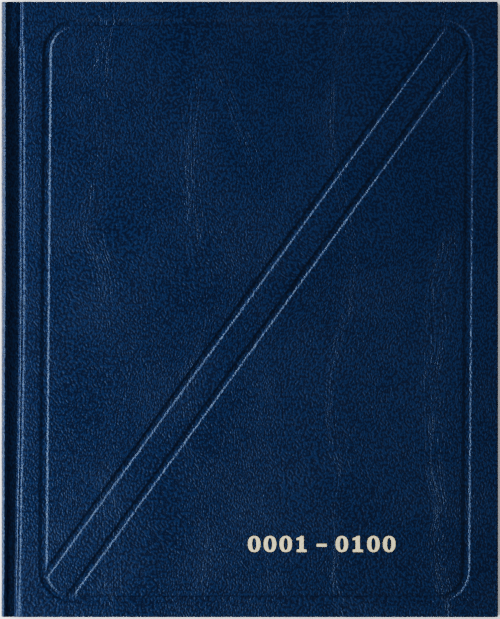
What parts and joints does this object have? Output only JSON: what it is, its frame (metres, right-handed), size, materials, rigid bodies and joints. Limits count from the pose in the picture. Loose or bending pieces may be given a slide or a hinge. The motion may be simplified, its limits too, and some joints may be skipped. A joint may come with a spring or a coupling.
{
  "type": "cash book",
  "caption": "Case-bound cash book with a stamped leatherette cover, French joints and a hollow back, which opens flat in the middle on coupled cover, spine and leaf hinges.",
  "frame": {"origin": "centre of the closed book's footprint, on the surface that its back cover lies on", "axes": "+X from spine to fore-edge, +Y from tail to head, +Z from the back cover up out of the front cover"},
  "size_m": [0.2746, 0.34, 0.0189],
  "materials": {
    "navy_leatherette": "fine grained covering with a soft satin sheen",
    "greyboard": "matt cut board",
    "spine_card": "matt card",
    "endpaper": "matt uncoated",
    "ledger_paper": "matt uncoated, ruled",
    "back_lining": "crepe paper under glue",
    "headband": "woven silk bead, striped",
    "linen_tape": "plain linen tape"
  },
  "bodies": {
    "root": {"back_leatherette": "navy_leatherette", "back_board": "greyboard", "back_pastedown": "endpaper", "back_flyleaf": "endpaper", "section_06": "ledger_paper", "section_07": "ledger_paper", "section_08": "ledger_paper", "section_09": "ledger_paper", "section_10": "ledger_paper", "leaf_3": "ledger_paper", "leaf_4": "ledger_paper", "spine_lining_back": "back_lining", "headband_back": "headband", "tailband_back": "headband", "sewing_tape_1_back": "linen_tape", "sewing_tape_2_back": "linen_tape", "sewing_tape_3_back": "linen_tape", "sewing_tape_4_back": "linen_tape"},
    "front_half": {"front_flyleaf": "endpaper", "section_01": "ledger_paper", "section_02": "ledger_paper", "section_03": "ledger_paper", "section_04": "ledger_paper", "section_05": "ledger_paper", "spine_lining_front": "back_lining", "headband_front": "headband", "tailband_front": "headband", "sewing_tape_1_front": "linen_tape", "sewing_tape_2_front": "linen_tape", "sewing_tape_3_front": "linen_tape", "sewing_tape_4_front": "linen_tape"},
    "leaf_1": {"leaf_1": "ledger_paper"},
    "leaf_2": {"leaf_2": "ledger_paper"},
    "spine": {"spine_leatherette": "navy_leatherette", "spine_stiffener": "spine_card"},
    "front_cover": {"front_leatherette": "navy_leatherette", "front_board": "greyboard", "front_pastedown": "endpaper"}
  },
  "joints": [
    {"name": "text_block_opening", "type": "hinge", "parent": "root", "child": "front_half", "pos_m": [-0.135, 0, 0.00945], "axis": [0, -1, 0], "range_deg": [0, 180]},
    {"name": "leaf_1_turn", "type": "hinge", "parent": "root", "child": "leaf_1", "pos_m": [-0.135, 0, 0.00945], "axis": [0, -1, 0], "range_deg": [0, 177.3]},
    {"name": "leaf_2_turn", "type": "hinge", "parent": "root", "child": "leaf_2", "pos_m": [-0.135, 0, 0.00945], "axis": [0, -1, 0], "range_deg": [0, 173.7]},
    {"name": "spine_swing", "type": "hinge", "parent": "root", "child": "spine", "pos_m": [-0.1346, 0, 0.0033], "axis": [0, -1, 0], "range_deg": [0, 90]},
    {"name": "front_cover_hinge", "type": "hinge", "parent": "spine", "child": "front_cover", "pos_m": [-0.1346, 0, 0.0156], "axis": [0, -1, 0], "range_deg": [0, 90]}
  ],
  "couplings": [
    {"joint": "leaf_1_turn", "follows": "text_block_opening", "ratio": 0.985},
    {"joint": "leaf_2_turn", "follows": "text_block_opening", "ratio": 0.965},
    {"joint": "spine_swing", "follows": "text_block_opening", "ratio": 0.5},
    {"joint": "front_cover_hinge", "follows": "text_block_opening", "ratio": 0.5}
  ]
}
